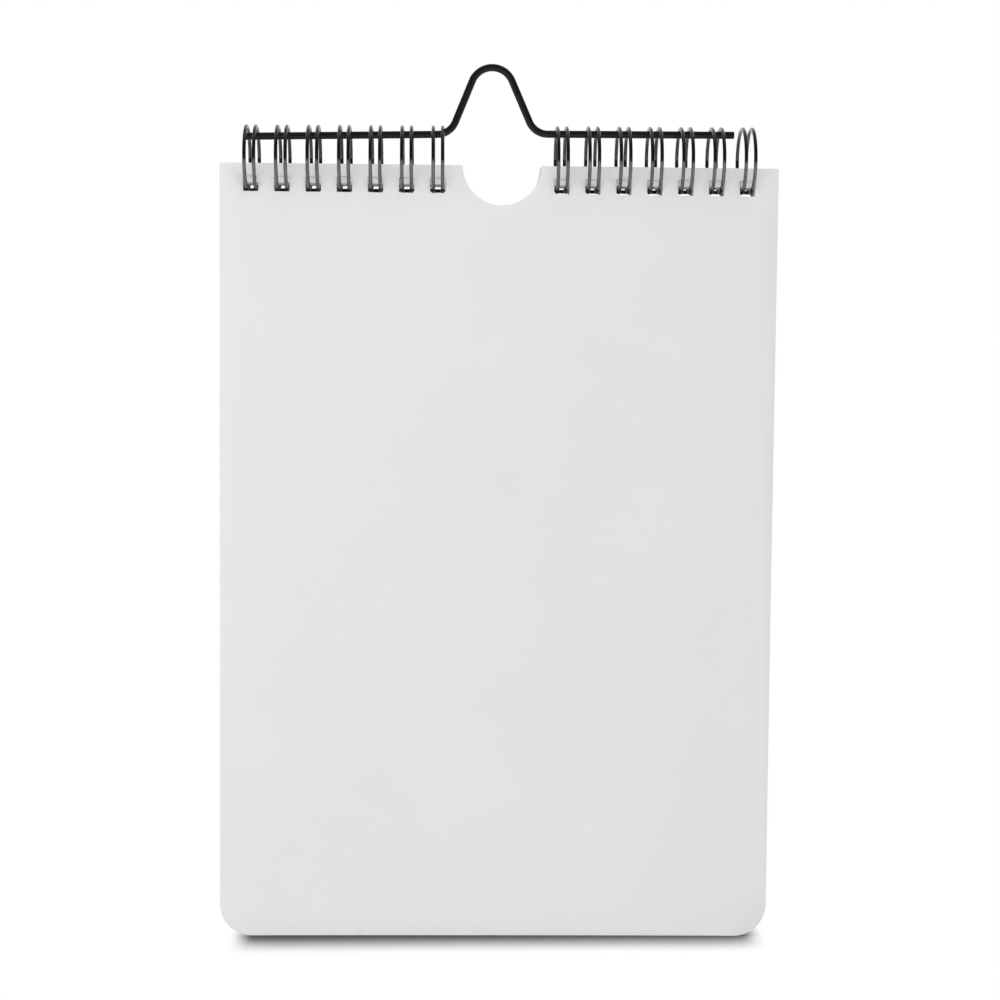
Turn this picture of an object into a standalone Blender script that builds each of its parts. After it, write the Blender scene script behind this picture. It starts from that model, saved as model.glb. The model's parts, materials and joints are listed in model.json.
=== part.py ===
# Wall-hung daily planner: a top-bound pad on two twin-loop wires, with a wire hanger.
# Metres, +Z up. The origin is where a nail bears under the hanger's peak. The front faces -Y.

import math

import bpy

MM = 0.001

# Sheets: 18 loop pitches wide, square punched holes, round bottom corners, round thumb cut
LOOP_PITCH = 25.4 / 3 * MM
SHEET_WIDTH = 18 * LOOP_PITCH
SHEET_HEIGHT = 213.4 * MM
CORNER_RADIUS = 8.8 * MM
HOLE_SIZE = 4.2 * MM
HOLE_MARGIN = 3.4 * MM
THUMB_RADIUS = 10.7 * MM
THUMB_SHIFT = 0.5 * MM

# Stack: distances along Y from the wire rings' centre, front to back
COVER_FRONT = -3.25 * MM
COVER_THICKNESS = 0.4 * MM
LEAF_COUNT = 14
LEAF_THICKNESS = 0.14 * MM
LEAF_STEP = 0.28 * MM
BLOCK_THICKNESS = 1.3 * MM
SEAM_GAP = 1.45 * MM
BOARD_THICKNESS = 1.5 * MM
SHEET_GAP = LEAF_STEP - LEAF_THICKNESS

# Twin-loop wire: loops on each side of the thumb cut, rolled to a ring and shut between leaves and board
LOOPS_PER_COMB = 7
INNER_LOOP = 2 * LOOP_PITCH
WIRE_DIAMETER = 1.0 * MM
STRAND_SPACING = 2.55 * MM
RING_RADIUS = 8.7 * MM
RING_ABOVE_SHEETS = 1.85 * MM
BASE_ANGLE = math.radians(-68.8)
TIP_ANGLE = BASE_ANGLE + math.radians(355)
WIRE_STUB = 0.6 * MM

# Hanger: a straight rod in the tops of the rings, with a bell-shaped rise for the nail
HANGER_DIAMETER = 2.0 * MM
HANGER_HALF_LENGTH = 67.2 * MM
HANGER_RISE = 18.0 * MM
HANGER_DROOP = 0.4 * MM
PEAK_RADIUS = 5.9 * MM
FLANK_ANGLE = math.radians(23)
FOOT_RADIUS = 5.5 * MM
HANGER_SHIFT = 2.0 * MM
ROD_ABOVE_RING_CENTRE = 6.7 * MM

# Facets
STRAND_STEPS = 18
FINE_STRAND_STEPS = 120
BEND_STEPS = 3
CORNER_STEPS = 5
THUMB_STEPS = 12
PEAK_STEPS = 9
FOOT_STEPS = 5
WIRE_BEVEL = 1
HANGER_BEVEL = 2

# Heights that follow from the dimensions above
ROD_Z = HANGER_DIAMETER / 2 - HANGER_RISE
SWING_AXIS_Z = ROD_Z - HANGER_DROOP / 2
RING_Z = ROD_Z - ROD_ABOVE_RING_CENTRE

# Finishes: base colour, roughness, metallic
COVER_FINISH = ((0.80, 0.80, 0.80), 0.55, 0.0)
LEAF_FINISH = ((0.82, 0.82, 0.81), 0.7, 0.0)
BOARD_FINISH = ((0.62, 0.60, 0.57), 0.8, 0.0)
WIRE_FINISH = ((0.03, 0.03, 0.03), 0.35, 0.6)
HANGER_FINISH = ((0.015, 0.015, 0.015), 0.4, 0.4)


def clear_scene():
    for thing in list(bpy.data.objects):
        bpy.data.objects.remove(thing)


def add_finish(name, finish):
    colour, roughness, metallic = finish
    material = bpy.data.materials.new(name + "_finish")
    material.use_nodes = True
    shader = material.node_tree.nodes["Principled BSDF"]
    shader.inputs["Base Color"].default_value = (*colour, 1.0)
    shader.inputs["Roughness"].default_value = roughness
    shader.inputs["Metallic"].default_value = metallic
    material.diffuse_color = (*colour, 1.0)
    return material


def add_empty(name, location, parent=None):
    empty = bpy.data.objects.new(name, None)
    bpy.context.collection.objects.link(empty)
    empty.location = location
    empty.parent = parent
    return empty


def add_object(name, curve, finish, parent=None):
    thing = bpy.data.objects.new(name, curve)
    bpy.context.collection.objects.link(thing)
    thing.parent = parent
    thing.material_slots[0].link = "OBJECT"
    thing.material_slots[0].material = add_finish(name, finish)
    return thing


def arc(centre, radius, start, end, steps):
    # Points of an arc in a plane, both ends included, angles in radians
    points = []
    for step in range(steps + 1):
        angle = start + (end - start) * step / steps
        points.append((centre[0] + radius * math.cos(angle), centre[1] + radius * math.sin(angle)))
    return points


def add_loop(curve, points):
    spline = curve.splines.new("POLY")
    spline.points.add(len(points) - 1)
    for target, (x, y) in zip(spline.points, points):
        target.co = (x, y, 0.0, 1.0)
    spline.use_cyclic_u = True
    spline.use_smooth = False


def loop_centres():
    # Loop places along X from the middle of the sheet, left comb first, each from left to right
    right = [INNER_LOOP + LOOP_PITCH * i for i in range(LOOPS_PER_COMB)]
    left = [-x for x in reversed(right)]
    return left, right


def sheet_outline():
    # Clockwise from the top left corner, measured from the rings' centre
    half = SHEET_WIDTH / 2
    top = -RING_ABOVE_SHEETS
    bottom = top - SHEET_HEIGHT
    inset = half - CORNER_RADIUS
    points = [(-half, top)]
    points += arc((THUMB_SHIFT, top), THUMB_RADIUS, math.pi, 2 * math.pi, THUMB_STEPS)
    points += [(half, top)]
    points += arc((inset, bottom + CORNER_RADIUS), CORNER_RADIUS, 0, -math.pi / 2, CORNER_STEPS)
    points += arc((-inset, bottom + CORNER_RADIUS), CORNER_RADIUS, -math.pi / 2, -math.pi, CORNER_STEPS)
    return points


def hole_outline(x):
    half = HOLE_SIZE / 2
    top = -RING_ABOVE_SHEETS - HOLE_MARGIN
    return [(x - half, top), (x + half, top), (x + half, top - HOLE_SIZE), (x - half, top - HOLE_SIZE)]


def sheet_curve(name, thickness):
    curve = bpy.data.curves.new(name, "CURVE")
    curve.dimensions = "2D"
    curve.fill_mode = "BOTH"
    curve.extrude = thickness / 2
    add_loop(curve, sheet_outline())
    left, right = loop_centres()
    for x in left + right:
        add_loop(curve, hole_outline(x))
    curve.materials.append(None)
    return curve


def add_sheet(name, curve, front, thickness, finish, ring_axis):
    sheet = add_object(name, curve, finish, ring_axis)
    sheet.rotation_euler = (math.pi / 2, 0.0, 0.0)
    sheet.location = (0.0, front + thickness / 2, 0.0)


def add_stack(ring_axis):
    # Front cover, the leaves that turn one by one, the rest of the leaves as a block, the back board
    front = COVER_FRONT
    cover = sheet_curve("cover_sheet", COVER_THICKNESS)
    add_sheet("front_cover", cover, front, COVER_THICKNESS, COVER_FINISH, ring_axis)
    front += COVER_THICKNESS + SHEET_GAP
    leaf = sheet_curve("leaf_sheet", LEAF_THICKNESS)
    for number in range(1, LEAF_COUNT + 1):
        add_sheet(f"leaf_{number:02d}", leaf, front, LEAF_THICKNESS, LEAF_FINISH, ring_axis)
        front += LEAF_STEP
    block = sheet_curve("block_sheet", BLOCK_THICKNESS)
    add_sheet("leaf_block", block, front, BLOCK_THICKNESS, LEAF_FINISH, ring_axis)
    front += BLOCK_THICKNESS + SEAM_GAP
    board = sheet_curve("board_sheet", BOARD_THICKNESS)
    add_sheet("back_board", board, front, BOARD_THICKNESS, BOARD_FINISH, ring_axis)


def tube_curve(name, points, diameter, bevel):
    curve = bpy.data.curves.new(name, "CURVE")
    curve.dimensions = "3D"
    curve.bevel_depth = diameter / 2
    curve.bevel_resolution = bevel
    curve.use_fill_caps = True
    spline = curve.splines.new("POLY")
    spline.points.add(len(points) - 1)
    for target, point in zip(spline.points, points):
        target.co = (*point, 1.0)
    curve.materials.append(None)
    return curve


def rolled(x, reach):
    # A place on the flat comb, x along it and reach up its fingers, rolled on to the ring
    angle = reach / RING_RADIUS
    return (x, RING_RADIUS * math.cos(angle), RING_RADIUS * math.sin(angle))


def comb_path(centres, strand_steps):
    # One wire: up a finger, round its tip, down again, and along the base to the next finger
    bend = STRAND_SPACING / 2
    base = BASE_ANGLE * RING_RADIUS
    tip = TIP_ANGLE * RING_RADIUS
    foot = base + bend
    head = tip - bend
    flat = [(centres[0] - 2 * bend - WIRE_STUB, base)]
    for x in centres:
        flat += arc((x - 2 * bend, foot), bend, -math.pi / 2, 0, BEND_STEPS)
        for step in range(1, strand_steps):
            flat.append((x - bend, foot + (head - foot) * step / strand_steps))
        flat += arc((x, head), bend, math.pi, 0, 2 * BEND_STEPS)
        for step in range(1, strand_steps):
            flat.append((x + bend, head + (foot - head) * step / strand_steps))
        flat += arc((x + 2 * bend, foot), bend, math.pi, 1.5 * math.pi, BEND_STEPS)
    flat.append((centres[-1] + 2 * bend + WIRE_STUB, base))
    return [rolled(x, reach) for x, reach in flat]


def least_gap(points, diameter):
    # Least clear distance of a wire to itself, leaving out what lies close along the wire
    along = [0.0]
    for a, b in zip(points, points[1:]):
        along.append(along[-1] + math.dist(a, b))
    near = 4 * diameter
    closest = min(
        math.dist(points[i], points[j])
        for i in range(len(points))
        for j in range(i + 1, len(points))
        if along[j] - along[i] > near
    )
    return closest - diameter


def add_wires(ring_axis):
    for name, centres in zip(("binding_wire_left", "binding_wire_right"), loop_centres()):
        wire = tube_curve(name, comb_path(centres, STRAND_STEPS), WIRE_DIAMETER, WIRE_BEVEL)
        add_object(name, wire, WIRE_FINISH, ring_axis)
        gap = least_gap(comb_path(centres[:2], FINE_STRAND_STEPS), WIRE_DIAMETER)
        print(f"{name}: least gap to itself {gap / MM:.2f} mm")


def hanger_half():
    # Right half of the hanger's centre line from the peak outwards, x and height above the rod
    sine, cosine = math.sin(FLANK_ANGLE), math.cos(FLANK_ANGLE)
    peak = (0.0, HANGER_RISE - PEAK_RADIUS)
    points = arc(peak, PEAK_RADIUS, math.pi / 2, FLANK_ANGLE, PEAK_STEPS)
    flank_top = points[-1]
    flank_foot = FOOT_RADIUS * (1 - sine)
    flank_x = flank_top[0] + (flank_top[1] - flank_foot) * sine / cosine
    foot = (flank_x + FOOT_RADIUS * cosine, FOOT_RADIUS)
    points += arc(foot, FOOT_RADIUS, math.pi + FLANK_ANGLE, 1.5 * math.pi, FOOT_STEPS)
    points.append((HANGER_HALF_LENGTH, -HANGER_DROOP))
    return points


def add_hanger():
    half = hanger_half()
    line = [(-x, z) for x, z in reversed(half)] + half[1:]
    points = [(x, 0.0, ROD_Z - SWING_AXIS_Z + z) for x, z in line]
    curve = tube_curve("wall_hanger", points, HANGER_DIAMETER, HANGER_BEVEL)
    hanger = add_object("wall_hanger", curve, HANGER_FINISH)
    hanger.location = (0.0, 0.0, SWING_AXIS_Z)


def main():
    clear_scene()
    swing_axis = add_empty("swing_axis", (0.0, 0.0, SWING_AXIS_Z))
    ring_axis = add_empty("ring_axis", (HANGER_SHIFT, 0.0, RING_Z - SWING_AXIS_Z), swing_axis)
    add_stack(ring_axis)
    add_wires(ring_axis)
    add_hanger()


main()
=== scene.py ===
import json
import math
import random

import bmesh
import bpy
from mathutils import Matrix, Vector


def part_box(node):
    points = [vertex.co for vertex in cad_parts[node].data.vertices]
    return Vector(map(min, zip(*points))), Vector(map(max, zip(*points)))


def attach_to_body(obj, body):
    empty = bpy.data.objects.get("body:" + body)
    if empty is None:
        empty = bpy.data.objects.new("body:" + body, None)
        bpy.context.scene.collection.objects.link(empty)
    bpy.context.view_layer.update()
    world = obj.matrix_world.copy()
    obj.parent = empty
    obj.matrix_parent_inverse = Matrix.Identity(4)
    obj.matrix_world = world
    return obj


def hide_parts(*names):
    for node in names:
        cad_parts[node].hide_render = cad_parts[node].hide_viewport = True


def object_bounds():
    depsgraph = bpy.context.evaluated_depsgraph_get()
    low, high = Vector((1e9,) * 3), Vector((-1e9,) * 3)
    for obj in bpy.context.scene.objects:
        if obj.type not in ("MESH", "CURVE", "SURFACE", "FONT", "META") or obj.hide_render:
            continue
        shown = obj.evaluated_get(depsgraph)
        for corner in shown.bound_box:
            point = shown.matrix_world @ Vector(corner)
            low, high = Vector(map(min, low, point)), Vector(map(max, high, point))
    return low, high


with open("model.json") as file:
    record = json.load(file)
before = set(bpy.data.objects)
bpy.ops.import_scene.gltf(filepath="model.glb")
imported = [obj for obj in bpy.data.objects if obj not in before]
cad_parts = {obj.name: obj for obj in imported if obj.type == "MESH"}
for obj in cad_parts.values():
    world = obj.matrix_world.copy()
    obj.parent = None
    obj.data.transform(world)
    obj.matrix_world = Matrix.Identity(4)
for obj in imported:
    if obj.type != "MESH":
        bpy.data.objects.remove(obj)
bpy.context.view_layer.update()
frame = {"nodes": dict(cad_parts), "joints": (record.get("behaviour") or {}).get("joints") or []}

mm = 0.001
joints = {joint["name"]: joint for joint in frame["joints"]}
ringCentre = Vector(joints["cover_turn"]["pos_m"])
swingPoint = Vector(joints["pad_swing"]["pos_m"])
coverLow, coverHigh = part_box("front_cover")
sheetTop = coverHigh.z
sheetHeight = coverHigh.z - coverLow.z
sheetWidth = coverHigh.x - coverLow.x
sheetMiddle = (coverHigh.x + coverLow.x) / 2
print("frame loaded,", len(frame["nodes"]), "nodes")

# Shader nodes


def addNode(tree, kind, settings=None, inputs=None):
    node = tree.nodes.new("ShaderNode" + kind)
    for key, value in (settings or {}).items():
        setattr(node, key, value)
    feedAll(tree, node, inputs or {})
    return node


def feedAll(tree, node, inputs):
    for key, value in inputs.items():
        feed(tree, node.inputs[key], value)


def feed(tree, socket, value):
    # Another node's output is linked, and anything else is set on the socket itself
    if isinstance(value, bpy.types.NodeSocket):
        tree.links.new(value, socket)
    elif socket.type == "RGBA":
        socket.default_value = (*value, 1)
    else:
        socket.default_value = value


def addMath(tree, operation, *values):
    node = addNode(tree, "Math", {"operation": operation})
    for socket, value in zip(node.inputs, values):
        feed(tree, socket, value)
    return node.outputs[0]


def blendColour(tree, factor, first, second):
    # A Mix node has a set of sockets for each kind of data: 6 and 7 take colours, and output 2 gives one
    node = addNode(tree, "Mix", {"data_type": "RGBA"}, {0: factor, 6: first, 7: second})
    return node.outputs[2]


def addNoise(tree, place, scale, detail):
    node = addNode(tree, "TexNoise", inputs={"Vector": place, "Scale": scale, "Detail": detail})
    return node.outputs[0]


def addBump(tree, height, strength, depth):
    node = addNode(tree, "Bump", inputs={"Strength": strength, "Distance": depth, "Height": height})
    return node.outputs[0]


def rescale(tree, value, low, high, toLow, toHigh, curve="LINEAR"):
    node = addNode(tree, "MapRange", {"interpolation_type": curve})
    for socket, part in zip(node.inputs, (value, low, high, toLow, toHigh)):
        feed(tree, socket, part)
    return node.outputs[0]


def newMaterial(name):
    material = bpy.data.materials.new(name)
    material.use_nodes = True
    tree = material.node_tree
    place = addNode(tree, "TexCoord").outputs["Object"]
    return material, tree, tree.nodes["Principled BSDF"], place


# Paper and board: soft clouds of tone, fine fibres with darker flecks, and ruled lines on the leaves

paperGrain = {
    "cloudLow": 0.3,
    "cloudHigh": 0.7,
    "cloudDetail": 3.0,
    "fibreDetail": 4.0,
    "fleckSpan": 0.12,
    "roughSpread": 0.04,
    "toothDepth": 0.05 * mm,
}


def paperMaterial(name, look):
    material, tree, shader, place = newMaterial(name)
    cloud = addNoise(tree, place, look["cloudScale"], paperGrain["cloudDetail"])
    fibre = addNoise(tree, place, look["fibreScale"], paperGrain["fibreDetail"])
    cloudRange = (cloud, paperGrain["cloudLow"], paperGrain["cloudHigh"])
    tone = blendColour(tree, rescale(tree, *cloudRange, 0.0, 1.0), look["dark"], look["light"])
    fleckTo = look["fleckFrom"] + paperGrain["fleckSpan"]
    fleck = rescale(tree, fibre, look["fleckFrom"], fleckTo, 0.0, look["fleck"])
    tone = blendColour(tree, fleck, tone, look["fleckColour"])
    if "rule" in look:
        tone = blendColour(tree, ruledMask(tree, place, look["rule"]), tone, look["rule"]["ink"])
    smoothest = look["rough"] - paperGrain["roughSpread"]
    roughest = look["rough"] + paperGrain["roughSpread"]
    feedAll(tree, shader, {
        "Base Color": tone,
        "Roughness": rescale(tree, *cloudRange, smoothest, roughest),
        "Specular IOR Level": look["shine"],
        "Normal": addBump(tree, fibre, look["tooth"], paperGrain["toothDepth"]),
    })
    return material


def ruledMask(tree, place, rule):
    # Plain ruled lines, a heavier head line and one column line, measured from the sheet's top and middle
    parts = addNode(tree, "SeparateXYZ", inputs={"Vector": place})
    across = addMath(tree, "SUBTRACT", parts.outputs["X"], sheetMiddle)
    down = addMath(tree, "SUBTRACT", sheetTop, parts.outputs["Z"])
    inside = addMath(tree, "COMPARE", across, 0.0, sheetWidth / 2 - rule["margin"])
    span = sheetHeight - rule["foot"] - rule["head"]
    body = addMath(tree, "COMPARE", down, rule["head"] + span / 2, span / 2)
    step = addMath(tree, "SUBTRACT", down, rule["head"])
    step = addMath(tree, "WRAP", step, rule["pitch"] / 2, -rule["pitch"] / 2)
    lines = addMath(tree, "MULTIPLY", addMath(tree, "COMPARE", step, 0.0, rule["thin"] / 2), body)
    headLine = addMath(tree, "COMPARE", down, rule["head"], rule["thick"] / 2)
    level = addMath(tree, "MULTIPLY", addMath(tree, "MAXIMUM", lines, headLine), inside)
    column = addMath(tree, "COMPARE", across, rule["column"], rule["thin"] / 2)
    column = addMath(tree, "MULTIPLY", column, body)
    return addMath(tree, "MULTIPLY", addMath(tree, "MAXIMUM", level, column), rule["strength"])


# Lacquered wire: a satin coat with a little drift in tone and gloss, and a fine grain

lacquerGrain = {
    "toneLow": 0.35,
    "toneHigh": 0.65,
    "glossLow": 0.3,
    "glossHigh": 0.7,
    "cloudDetail": 3.0,
    "grainDetail": 2.0,
    "grainDepth": 0.02 * mm,
}


def lacquerMaterial(name, look):
    material, tree, shader, place = newMaterial(name)
    cloud = addNoise(tree, place, look["cloudScale"], lacquerGrain["cloudDetail"])
    grain = addNoise(tree, place, look["grainScale"], lacquerGrain["grainDetail"])
    drift = rescale(tree, cloud, lacquerGrain["toneLow"], lacquerGrain["toneHigh"], 0.0, 1.0)
    gloss = (cloud, lacquerGrain["glossLow"], lacquerGrain["glossHigh"])
    feedAll(tree, shader, {
        "Base Color": blendColour(tree, drift, look["dark"], look["light"]),
        "Roughness": rescale(tree, *gloss, look["roughLow"], look["roughHigh"]),
        "Specular IOR Level": look["shine"],
        "Metallic": look["metal"],
        "Normal": addBump(tree, grain, look["grain"], lacquerGrain["grainDepth"]),
    })
    return material


# Bare steel where a wire is cut

cutLook = {
    "dark": (0.42, 0.42, 0.43),
    "light": (0.62, 0.62, 0.63),
    "metal": 1.0,
    "scratchScale": 5000.0,
    "scratchDetail": 3.0,
    "scratchLow": 0.3,
    "scratchHigh": 0.7,
    "roughLow": 0.3,
    "roughHigh": 0.5,
}


def steelMaterial(name, look):
    material, tree, shader, place = newMaterial(name)
    scratch = addNoise(tree, place, look["scratchScale"], look["scratchDetail"])
    scratchRange = (scratch, look["scratchLow"], look["scratchHigh"])
    feedAll(tree, shader, {
        "Base Color": blendColour(tree, scratch, look["dark"], look["light"]),
        "Metallic": look["metal"],
        "Roughness": rescale(tree, *scratchRange, look["roughLow"], look["roughHigh"]),
    })
    return material


# Sheets: one outline for all of them, in the cover's box

sheetShape = {
    "cornerRadius": 8.8 * mm,
    "cornerSteps": 20,
    "thumbRadius": 10.7 * mm,
    "thumbShift": 0.5 * mm,
    "thumbSteps": 56,
    "holeSize": 4.2 * mm,
    "holeMargin": 3.4 * mm,
    "holeRound": 0.35 * mm,
    "holeRoundSteps": 4,
    "pitches": 18,  # loop pitches in the sheet's width
    "loops": 7,  # on each side of the thumb cut
    "firstLoop": 2,  # pitches from the middle to the first loop
    "bendFrom": 0.06,  # where the leaves start to settle back, in shares of the height
    "bendSpan": 0.3,
    "rimSegments": 2,
    "rimProfile": 0.5,  # a round rim
    "crease": math.radians(35),  # steeper edges are drawn sharp
    "snap": 0.001 * mm,  # a cut this close to a corner goes through it
}
loopPitch = sheetWidth / sheetShape["pitches"]


def arc(centre, radius, start, end, steps):
    points = []
    for step in range(steps + 1):
        angle = start + (end - start) * step / steps
        points.append((centre[0] + radius * math.cos(angle), centre[1] + radius * math.sin(angle)))
    return points


def loopPlaces():
    right = [loopPitch * (sheetShape["firstLoop"] + number) for number in range(sheetShape["loops"])]
    return [-x for x in reversed(right)], right


def holeOutline(x):
    radius, steps = sheetShape["holeRound"], sheetShape["holeRoundSteps"]
    inset = sheetShape["holeSize"] / 2 - radius
    middle = -sheetShape["holeMargin"] - sheetShape["holeSize"] / 2
    hole = []
    for turn, (sideX, sideZ) in enumerate(((1, 1), (-1, 1), (-1, -1), (1, -1))):
        corner = (x + sideX * inset, middle + sideZ * inset)
        start = turn * math.pi / 2
        hole += arc(corner, radius, start, start + math.pi / 2, steps)
    return hole


def outlineLoops():
    # Places from the middle of the top edge, x across and z up
    half, bottom = sheetWidth / 2, -sheetHeight
    radius, steps = sheetShape["cornerRadius"], sheetShape["cornerSteps"]
    thumb = (sheetShape["thumbShift"], 0.0)
    outer = [(-half, 0.0)]
    outer += arc(thumb, sheetShape["thumbRadius"], math.pi, 2 * math.pi, sheetShape["thumbSteps"])
    outer += [(half, 0.0)]
    outer += arc((half - radius, bottom + radius), radius, 0, -math.pi / 2, steps)
    outer += arc((radius - half, bottom + radius), radius, -math.pi / 2, -math.pi, steps)
    left, right = loopPlaces()
    return [outer] + [holeOutline(x) for x in left + right]


def flatSheet(cellsAcross, cellsDown):
    # The outline and its holes filled, then cut to cells so that the sheet can bend
    flat = bmesh.new()
    edges = []
    for loop in outlineLoops():
        verts = [flat.verts.new((x, 0.0, z)) for x, z in loop]
        edges += [flat.edges.new(pair) for pair in zip(verts, verts[1:] + verts[:1])]
    bmesh.ops.triangle_fill(flat, use_beauty=True, edges=edges, normal=(0, -1, 0))
    cuts = [((sheetWidth * (cell / cellsAcross - 0.5), 0, 0), (1, 0, 0)) for cell in range(1, cellsAcross)]
    cuts += [((0, 0, -sheetHeight * cell / cellsDown), (0, 0, 1)) for cell in range(1, cellsDown)]
    for point, normal in cuts:
        every = flat.verts[:] + flat.edges[:] + flat.faces[:]
        bmesh.ops.bisect_plane(flat, geom=every, dist=sheetShape["snap"], plane_co=point, plane_no=normal)
    return flat


def thickSheet(flat, front, back, rim=0.0):
    # The flat sheet given its thickness, with its front and back edges rounded by rim
    body = flat.copy()
    verts = body.verts[:]
    border = [edge for edge in body.edges if edge.is_boundary]
    rear = bmesh.ops.duplicate(body, geom=verts + body.edges[:] + body.faces[:])["vert_map"]
    for vert in verts:
        vert.co.y = front
        rear[vert].co.y = back
    for edge in border:
        first, second = edge.verts
        body.faces.new((first, second, rear[second], rear[first]))
    bmesh.ops.recalc_face_normals(body, faces=body.faces[:])
    if rim:
        roundRim(body, rim)
    return body


def roundRim(body, rim):
    # An edge of the rim lies between the front or the back and a side
    frontFrom = 0.9  # a face of the front or the back has more of its normal than this along y
    body.normal_update()
    edges = []
    for edge in body.edges:
        flat = [abs(face.normal.y) > frontFrom for face in edge.link_faces]
        if len(flat) == 2 and flat[0] != flat[1]:
            edges.append(edge)
    bmesh.ops.bevel(body, geom=edges, offset=rim, segments=sheetShape["rimSegments"],
                    profile=sheetShape["rimProfile"], affect="EDGES", clamp_overlap=True)


def placeSheet(body, skew, across=0.0, drop=0.0, curl=0.0, corner=0.0, settle=0.0):
    # A small turn and shift in the sheet's own plane, a forward curl of its lower part and its corners,
    # and a bend back to the board. The drop fades out downwards, so that all sheets end at one level.
    turn = Matrix.Rotation(skew, 3, "Y")
    for vert in body.verts:
        place = turn @ Vector((vert.co.x, 0.0, vert.co.z))
        down = min(max(-vert.co.z / sheetHeight, 0.0), 1.0)
        side = abs(vert.co.x) / (sheetWidth / 2)
        below = min(max((down - sheetShape["bendFrom"]) / sheetShape["bendSpan"], 0.0), 1.0)
        lift = curl * down ** 2 + corner * down ** 4 * side ** 3 - settle * below ** 2 * (3 - 2 * below)
        vert.co = (sheetMiddle + across + place.x, vert.co.y - lift, sheetTop - drop * (1 - down) + place.z)


def meshObject(name, body, material, crease=sheetShape["crease"]):
    mesh = bpy.data.meshes.new(name)
    body.to_mesh(mesh)
    body.free()
    mesh.materials.append(material)
    mesh.polygons.foreach_set("use_smooth", [True] * len(mesh.polygons))
    mesh.set_sharp_from_angle(angle=crease)
    thing = bpy.data.objects.new(name, mesh)
    bpy.context.collection.objects.link(thing)
    return thing


def attach(thing, body, node):
    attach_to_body(thing, body)
    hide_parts(node)


# Front cover: smooth pale card

coverLook = {
    "dark": (0.80, 0.80, 0.80),
    "light": (0.82, 0.82, 0.82),
    "fleckColour": (0.76, 0.76, 0.755),
    "fleck": 0.25,
    "fleckFrom": 0.6,
    "cloudScale": 22.0,
    "fibreScale": 1500.0,
    "rough": 0.5,
    "shine": 0.35,
    "tooth": 0.12,
    "rim": 0.09 * mm,
    "skew": math.radians(0.32),
    "curl": 0.5 * mm,
    "corner": 0.4 * mm,
    "cellsAcross": 12,
    "cellsDown": 16,
}
coverFlat = flatSheet(coverLook["cellsAcross"], coverLook["cellsDown"])
coverBody = thickSheet(coverFlat, coverLow.y, coverHigh.y, coverLook["rim"])
placeSheet(coverBody, coverLook["skew"], curl=coverLook["curl"], corner=coverLook["corner"])
coverSheet = meshObject("coverSheet", coverBody, paperMaterial("coverCard", coverLook))
attach(coverSheet, "front_cover", "front_cover")
print("cover built,", len(coverSheet.data.polygons), "faces")

# Leaves: thin paper with plain ruled lines, each a little out of line with the next

leafLook = {
    "dark": (0.81, 0.81, 0.80),
    "light": (0.84, 0.84, 0.83),
    "fleckColour": (0.75, 0.75, 0.74),
    "fleck": 0.3,
    "fleckFrom": 0.58,
    "cloudScale": 35.0,
    "fibreScale": 1300.0,
    "rough": 0.72,
    "shine": 0.25,
    "tooth": 0.2,
    "count": 14,
    "fill": 1.0,  # share of its room that a leaf takes up
    "skew": math.radians(0.09),
    "shift": 0.12 * mm,
    "ringInside": 8.2 * mm,
    "hangGap": 0.55 * mm,
    "uneven": 0.15 * mm,
    "settle": 1.25 * mm,
    "cellsAcross": 4,
    "cellsDown": 20,
    "seed": 11,
    "rule": {
        "ink": (0.34, 0.35, 0.37),
        "strength": 0.75,
        "margin": 9 * mm,
        "head": 34 * mm,
        "foot": 15 * mm,
        "pitch": 8 * mm,
        "thin": 0.22 * mm,
        "thick": 0.7 * mm,
        "column": -46 * mm,
    },
}
leafFlat = flatSheet(leafLook["cellsAcross"], leafLook["cellsDown"])
leafPaper = paperMaterial("leafPaper", leafLook)
chance = random.Random(leafLook["seed"])


def hangDrop(front, back):
    # A leaf hangs from the wires: the tops of its holes come down close to the inside of the rings
    deep = max(abs(front), abs(back))
    inside = math.sqrt(leafLook["ringInside"] ** 2 - deep ** 2)
    holeTop = ringCentre.z - sheetTop + sheetShape["holeMargin"]
    return inside - holeTop - leafLook["hangGap"] - chance.uniform(0, 1) * leafLook["uneven"]


def hangLeaf(front, back, look, share):
    # A leaf in its room from front to back, with its share of the cover's curl
    body = thickSheet(leafFlat, front, front + (back - front) * look["fill"])
    skew = coverLook["skew"] - chance.uniform(0, 1) * look["skew"]
    across = chance.uniform(-1, 1) * look["shift"]
    drop = hangDrop(front, back)
    settle = leafLook["settle"] * (1 - share)
    placeSheet(body, skew, across, drop, coverLook["curl"] * share, coverLook["corner"] * share, settle)
    return body


for number in range(1, leafLook["count"] + 1):
    node = f"leaf_{number:02d}"
    low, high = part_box(node)
    leafBody = hangLeaf(low.y, high.y, leafLook, 1 - number / (leafLook["count"] + 1))
    attach(meshObject(f"leafSheet{number:02d}", leafBody, leafPaper), node, node)
print("leaves built,", leafLook["count"], "sheets")

# Leaf stack: the leaves behind them, as thin sheets with hair-wide gaps

stackLook = {
    "sheets": 9,
    "fill": 0.86,
    "skew": math.radians(0.09),
    "shift": 0.1 * mm,
}
stackLow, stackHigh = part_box("leaf_block")
stackStep = (stackHigh.y - stackLow.y) / stackLook["sheets"]
oneSheet = bpy.data.meshes.new("oneSheet")  # carries each sheet over to the stack
stackBody = bmesh.new()
for number in range(stackLook["sheets"]):
    front = stackLow.y + stackStep * number
    leafBody = hangLeaf(front, front + stackStep, stackLook, 0.0)
    leafBody.to_mesh(oneSheet)
    leafBody.free()
    stackBody.from_mesh(oneSheet)
bpy.data.meshes.remove(oneSheet)
attach(meshObject("leafStack", stackBody, leafPaper), "leaf_block", "leaf_block")
print("leaf stack built,", stackLook["sheets"], "sheets")

# Back board: solid grey board with a fibrous face

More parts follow.
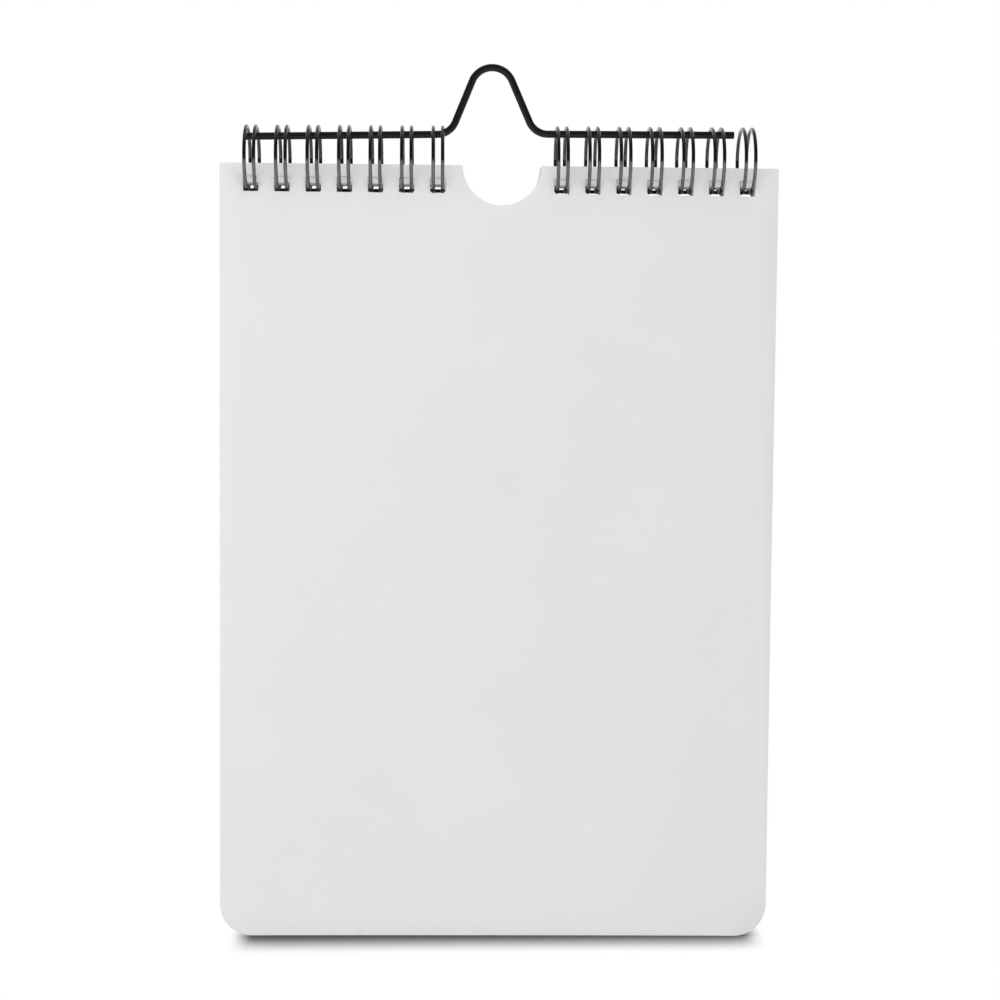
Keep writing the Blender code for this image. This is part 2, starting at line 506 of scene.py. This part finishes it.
boardLook = {
    "dark": (0.60, 0.58, 0.55),
    "light": (0.64, 0.62, 0.59),
    "fleckColour": (0.40, 0.38, 0.35),
    "fleck": 0.5,
    "fleckFrom": 0.56,
    "cloudScale": 140.0,
    "fibreScale": 1600.0,
    "rough": 0.82,
    "shine": 0.2,
    "tooth": 0.5,
    "rim": 0.16 * mm,
}
boardLow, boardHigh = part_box("back_board")
boardBody = thickSheet(leafFlat, boardLow.y, boardHigh.y, boardLook["rim"])
placeSheet(boardBody, coverLook["skew"])
backBoard = meshObject("backBoard", boardBody, paperMaterial("greyBoard", boardLook))
attach(backBoard, "binding", "back_board")
print("board built,", len(backBoard.data.polygons), "faces")

# Wires: round tubes swept along a line, with chamfered ends

tubeCrease = math.radians(50)  # steeper edges are drawn sharp, so a chamfer is shaded round


def sweepTube(name, line, look, skin, cut):
    radius, sides, chamfer = look["radius"], look["sides"], look["chamfer"]
    points = [Vector(point) for point in line]
    startWay = (points[1] - points[0]).normalized()
    endWay = (points[-1] - points[-2]).normalized()
    stations = [(points[0], radius - chamfer), (points[0] + startWay * chamfer, radius)]
    stations += [(point, radius) for point in points[1:-1]]
    stations += [(points[-1] - endWay * chamfer, radius), (points[-1], radius - chamfer)]
    body = bmesh.new()
    side = startWay.orthogonal().normalized()
    rings = []
    for number, (point, size) in enumerate(stations):
        before = stations[max(number - 1, 0)][0]
        after = stations[min(number + 1, len(stations) - 1)][0]
        along = (after - before).normalized()
        side = (side - along * side.dot(along)).normalized()  # carried on, so the tube doesn't twist
        other = along.cross(side)
        ring = []
        for corner in range(sides):
            angle = 2 * math.pi * corner / sides
            ring.append(body.verts.new(point + (side * math.cos(angle) + other * math.sin(angle)) * size))
        rings.append(ring)
    for first, second in zip(rings, rings[1:]):
        for corner in range(sides):
            following = (corner + 1) % sides
            body.faces.new((first[corner], first[following], second[following], second[corner]))
    for ring in (list(reversed(rings[0])), rings[-1]):
        body.faces.new(ring).material_index = 1
    thing = meshObject(name, body, skin, tubeCrease)
    thing.data.materials.append(cut)
    return thing


# Twin-loop wires: up each finger, round its tip, down again and along the base to the next finger.
# The flat comb is rolled to rings that shut in front of the board.

wireLook = {
    "dark": (0.13, 0.13, 0.132),
    "light": (0.17, 0.17, 0.172),
    "cloudScale": 400.0,
    "grainScale": 3000.0,
    "roughLow": 0.14,
    "roughHigh": 0.2,
    "shine": 0.5,
    "metal": 1.0,
    "grain": 0.04,
    "radius": 0.5 * mm,
    "spacing": 2.55 * mm,  # between the two strands of a finger
    "ring": 8.7 * mm,
    "base": math.radians(-68.8),  # where the base lies on the ring, from straight back
    "sweep": math.radians(355),  # from the base to the finger tips
    "stub": 0.6 * mm,
    "strandSteps": 72,
    "bendSteps": 7,
    "sides": 14,
    "chamfer": 0.08 * mm,
}


def combLine(places):
    ring, steps, bendSteps = wireLook["ring"], wireLook["strandSteps"], wireLook["bendSteps"]
    bend = wireLook["spacing"] / 2
    base = wireLook["base"] * ring
    tip = (wireLook["base"] + wireLook["sweep"]) * ring
    foot, head = base + bend, tip - bend
    flat = [(places[0] - 2 * bend - wireLook["stub"], base)]
    for x in places:
        flat += arc((x - 2 * bend, foot), bend, -math.pi / 2, 0, bendSteps)
        flat += [(x - bend, foot + (head - foot) * step / steps) for step in range(1, steps)]
        flat += arc((x, head), bend, math.pi, 0, 2 * bendSteps)
        flat += [(x + bend, head + (foot - head) * step / steps) for step in range(1, steps)]
        flat += arc((x + 2 * bend, foot), bend, math.pi, 1.5 * math.pi, bendSteps)
    flat.append((places[-1] + 2 * bend + wireLook["stub"], base))
    rolled = [(x, ring * math.cos(reach / ring), ring * math.sin(reach / ring)) for x, reach in flat]
    return [ringCentre + Vector(point) for point in rolled]


wireSkin = lacquerMaterial("wireLacquer", wireLook)
cutSteel = steelMaterial("cutSteel", cutLook)
for sideName, places in zip(("left", "right"), loopPlaces()):
    wire = sweepTube("loopWire" + sideName.title(), combLine(places), wireLook, wireSkin, cutSteel)
    attach(wire, "binding", "binding_wire_" + sideName)
    wire.visible_shadow = False  # the photo's light is too soft for shadows of so thin a wire
print("loop wires built,", len(wire.data.polygons), "faces each")

# Hanger: a rod in the tops of the rings with a bell-shaped rise

hangerLook = {
    "dark": (0.008, 0.008, 0.008),
    "light": (0.012, 0.012, 0.012),
    "cloudScale": 250.0,
    "grainScale": 2500.0,
    "roughLow": 0.3,
    "roughHigh": 0.38,
    "shine": 0.25,
    "metal": 0.0,
    "grain": 0.06,
    "radius": 1.0 * mm,
    "leftLength": 67.3 * mm,
    "rightLength": 66.3 * mm,
    "shift": -0.2 * mm,
    "lift": 0.2 * mm,
    "rise": 18.0 * mm,
    "droop": 0.4 * mm,
    "tilt": math.radians(0.46),
    "peakRadius": 5.9 * mm,
    "flank": math.radians(23),  # from upright
    "footRadius": 5.5 * mm,
    "peakSteps": 28,
    "footSteps": 22,
    "rodSteps": 12,
    "sides": 24,
    "chamfer": 0.15 * mm,
}


def hangerHalf(length):
    # From the peak outwards, x and the height above the rod
    peak, foot, flank = hangerLook["peakRadius"], hangerLook["footRadius"], hangerLook["flank"]
    sine, cosine = math.sin(flank), math.cos(flank)
    half = arc((0.0, hangerLook["rise"] - peak), peak, math.pi / 2, flank, hangerLook["peakSteps"])
    flankEnd = foot * (1 - sine)
    flankX = half[-1][0] + (half[-1][1] - flankEnd) * sine / cosine
    footCentre = (flankX + foot * cosine, foot)
    half += arc(footCentre, foot, math.pi + flank, 1.5 * math.pi, hangerLook["footSteps"])
    startX = half[-1][0]
    for step in range(1, hangerLook["rodSteps"] + 1):
        share = step / hangerLook["rodSteps"]
        half.append((startX + (length - startX) * share, -hangerLook["droop"] * share))
    return half


def hangerLine():
    left = [(-x, z) for x, z in reversed(hangerHalf(hangerLook["leftLength"]))]
    right = hangerHalf(hangerLook["rightLength"])[1:]
    raised = hangerLook["droop"] / 2 + hangerLook["lift"]
    places = [Vector((x + hangerLook["shift"], 0.0, raised + z)) for x, z in left + right]
    tilt = Matrix.Rotation(-hangerLook["tilt"], 3, "Y")
    return [tilt @ (swingPoint + place) for place in places]


hangerSkin = lacquerMaterial("hangerLacquer", hangerLook)
hangerWire = sweepTube("hangerWire", hangerLine(), hangerLook, hangerSkin, hangerSkin)
attach(hangerWire, "hanger", "wall_hanger")
print("hanger built,", len(hangerWire.data.polygons), "faces")

# Floor: white, with a painted contact shadow, a dark line where the pad stands on it

floorLook = {
    "size": 3.0,
    "drop": 0.02 * mm,
    "white": 0.9,
    "reach": 18.5 * mm,  # how far off the pad the painted shadow reaches
    "samples": 16,
    "darkAt": 0.5,  # open share of the sky close to an upright face
    "clearAt": 0.93,  # open share where the shade ends
    "fade": 1.28,
    "contact": 0.1,  # what is left of the white in the darkest place of the painted shadow
    "endFrom": 8.0 * mm,  # from the sheet's sides inwards: the painted shadow line fades out between these two
    "endTo": 1.0 * mm,
}


def floorMaterial(name, look):
    material = bpy.data.materials.new(name)
    material.use_nodes = True
    tree = material.node_tree
    tree.nodes.clear()
    # The contact shadow is painted: an occlusion test near the pad lowers the white glow that the camera
    # and reflections see, and it fades out towards the sheet's sides
    near = addNode(tree, "AmbientOcclusion", {"samples": look["samples"]}, {"Distance": look["reach"]})
    clear = rescale(tree, near.outputs["AO"], look["darkAt"], look["clearAt"], 0.0, 1.0)
    clear = addMath(tree, "POWER", clear, look["fade"])
    place = addNode(tree, "SeparateXYZ", inputs={"Vector": addNode(tree, "TexCoord").outputs["Object"]})
    across = addMath(tree, "ABSOLUTE", addMath(tree, "SUBTRACT", place.outputs["X"], sheetMiddle))
    endFrom, endTo = sheetWidth / 2 - look["endFrom"], sheetWidth / 2 - look["endTo"]
    ends = rescale(tree, across, endFrom, endTo, 1.0, 0.0, "SMOOTHSTEP")
    dark = addMath(tree, "MULTIPLY", addMath(tree, "SUBTRACT", 1.0, clear), ends)
    # painted shadow: the glow's strength drops from 1 towards the contact value near the pad
    paintedShadow = rescale(tree, dark, 0.0, 1.0, 1.0, look["contact"])
    plain = addNode(tree, "BsdfDiffuse", inputs={"Color": [look["white"]] * 3})
    glow = addNode(tree, "Emission", inputs={"Color": (1, 1, 1), "Strength": paintedShadow})
    rays = addNode(tree, "LightPath").outputs
    direct = addMath(tree, "MAXIMUM", rays["Is Camera Ray"], rays["Is Glossy Ray"])
    direct = addMath(tree, "MAXIMUM", direct, rays["Is Transmission Ray"])
    seen = addNode(tree, "MixShader", inputs={0: direct, 1: plain.outputs[0], 2: glow.outputs[0]})
    addNode(tree, "OutputMaterial", inputs={"Surface": seen.outputs[0]})
    return material


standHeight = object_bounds()[0].z
half = floorLook["size"] / 2
corners = [(-half, -half, 0), (half, -half, 0), (half, half, 0), (-half, half, 0)]
floorMesh = bpy.data.meshes.new("floor")
floorMesh.from_pydata(corners, [], [(0, 1, 2, 3)])
floorMesh.materials.append(floorMaterial("floorWhitePaintedShadow", floorLook))
floor = bpy.data.objects.new("floor", floorMesh)
bpy.context.collection.objects.link(floor)
floor.location.z = standHeight - floorLook["drop"]
print("floor built")

# World: white to the camera, a plain level for the light, darker in front in reflections

worldLook = {
    "ambient": 0.55,
    "seen": 1.0,
    "mirrorFront": 0.05,
    "mirrorRest": 1.0,
    "frontEnds": 0.1,  # measured by how far a reflection heads backwards
    "restStarts": 0.9,
    "mirrorTop": 0.28,
    "topStarts": 0.65,  # measured by how far it heads upwards
}
world = bpy.data.worlds.new("studio")
bpy.context.scene.world = world
world.use_nodes = True
tree = world.node_tree
tree.nodes.clear()
rays = addNode(tree, "LightPath").outputs
heading = addNode(tree, "SeparateXYZ", inputs={"Vector": addNode(tree, "TexCoord").outputs["Generated"]})
behind = rescale(tree, heading.outputs["Y"], worldLook["frontEnds"], worldLook["restStarts"],
                 worldLook["mirrorFront"], worldLook["mirrorRest"])
above = rescale(tree, heading.outputs["Z"], worldLook["topStarts"], 1.0, 0.0, worldLook["mirrorTop"])
mirror = addMath(tree, "MAXIMUM", behind, above)
level = rescale(tree, rays["Is Glossy Ray"], 0.0, 1.0, worldLook["ambient"], mirror)
direct = addMath(tree, "MAXIMUM", rays["Is Camera Ray"], rays["Is Transmission Ray"])
level = rescale(tree, direct, 0.0, 1.0, level, worldLook["seen"])
sky = addNode(tree, "Background", inputs={"Color": (1, 1, 1), "Strength": level})
addNode(tree, "OutputWorld", inputs={"Surface": sky.outputs[0]})
print("world built")

# Lamps: a soft key from the upper left in front, a weak one from above

lamps = {
    "keyLamp": {"place": (-0.55, -0.95, 0.3), "width": 0.7, "height": 1.3, "power": 6.15},
    "topLamp": {"place": (0.05, -0.1, 0.75), "width": 0.7, "height": 0.7, "power": 1.5},
}
aim = Vector((sheetMiddle, 0.0, sheetTop - sheetHeight / 2))
for name, lamp in lamps.items():
    data = bpy.data.lights.new(name, "AREA")
    data.shape = "RECTANGLE"
    data.size = lamp["width"]
    data.size_y = lamp["height"]
    data.energy = lamp["power"]
    thing = bpy.data.objects.new(name, data)
    bpy.context.collection.objects.link(thing)
    thing.location = lamp["place"]
    thing.rotation_mode = "QUATERNION"
    thing.rotation_quaternion = (aim - thing.location).to_track_quat("-Z", "Y")
    thing.visible_glossy = False  # the wires mirror the world and not the lamps
print("lamps built,", len(lamps))

# Camera: fitted to the photo's sheet edges, holes and hanger

cameraLook = {
    "place": (-13.0 * mm, -558.4 * mm, -75.5 * mm),
    "turn": (4.26, -1.57, 0.08),  # pitch, yaw and roll in degrees
    "lens": 72.74,
    "sensor": 36.0,
}
cameraData = bpy.data.cameras.new("camera")
cameraData.lens = cameraLook["lens"]
cameraData.sensor_width = cameraLook["sensor"]
camera = bpy.data.objects.new("camera", cameraData)
bpy.context.collection.objects.link(camera)
pitch, yaw, roll = [math.radians(angle) for angle in cameraLook["turn"]]
turn = Matrix.Rotation(roll, 3, "Z") @ Matrix.Rotation(yaw, 3, "Y") @ Matrix.Rotation(pitch, 3, "X")
right, down, ahead = turn @ Matrix(((1, 0, 0), (0, 0, -1), (0, 1, 0)))  # the picture's axes in the frame
facing = Matrix((right, -down, -ahead)).transposed().to_4x4()
camera.matrix_world = Matrix.Translation(cameraLook["place"]) @ facing
bpy.context.scene.camera = camera
bpy.context.scene.view_settings.view_transform = "Standard"
print("camera placed")
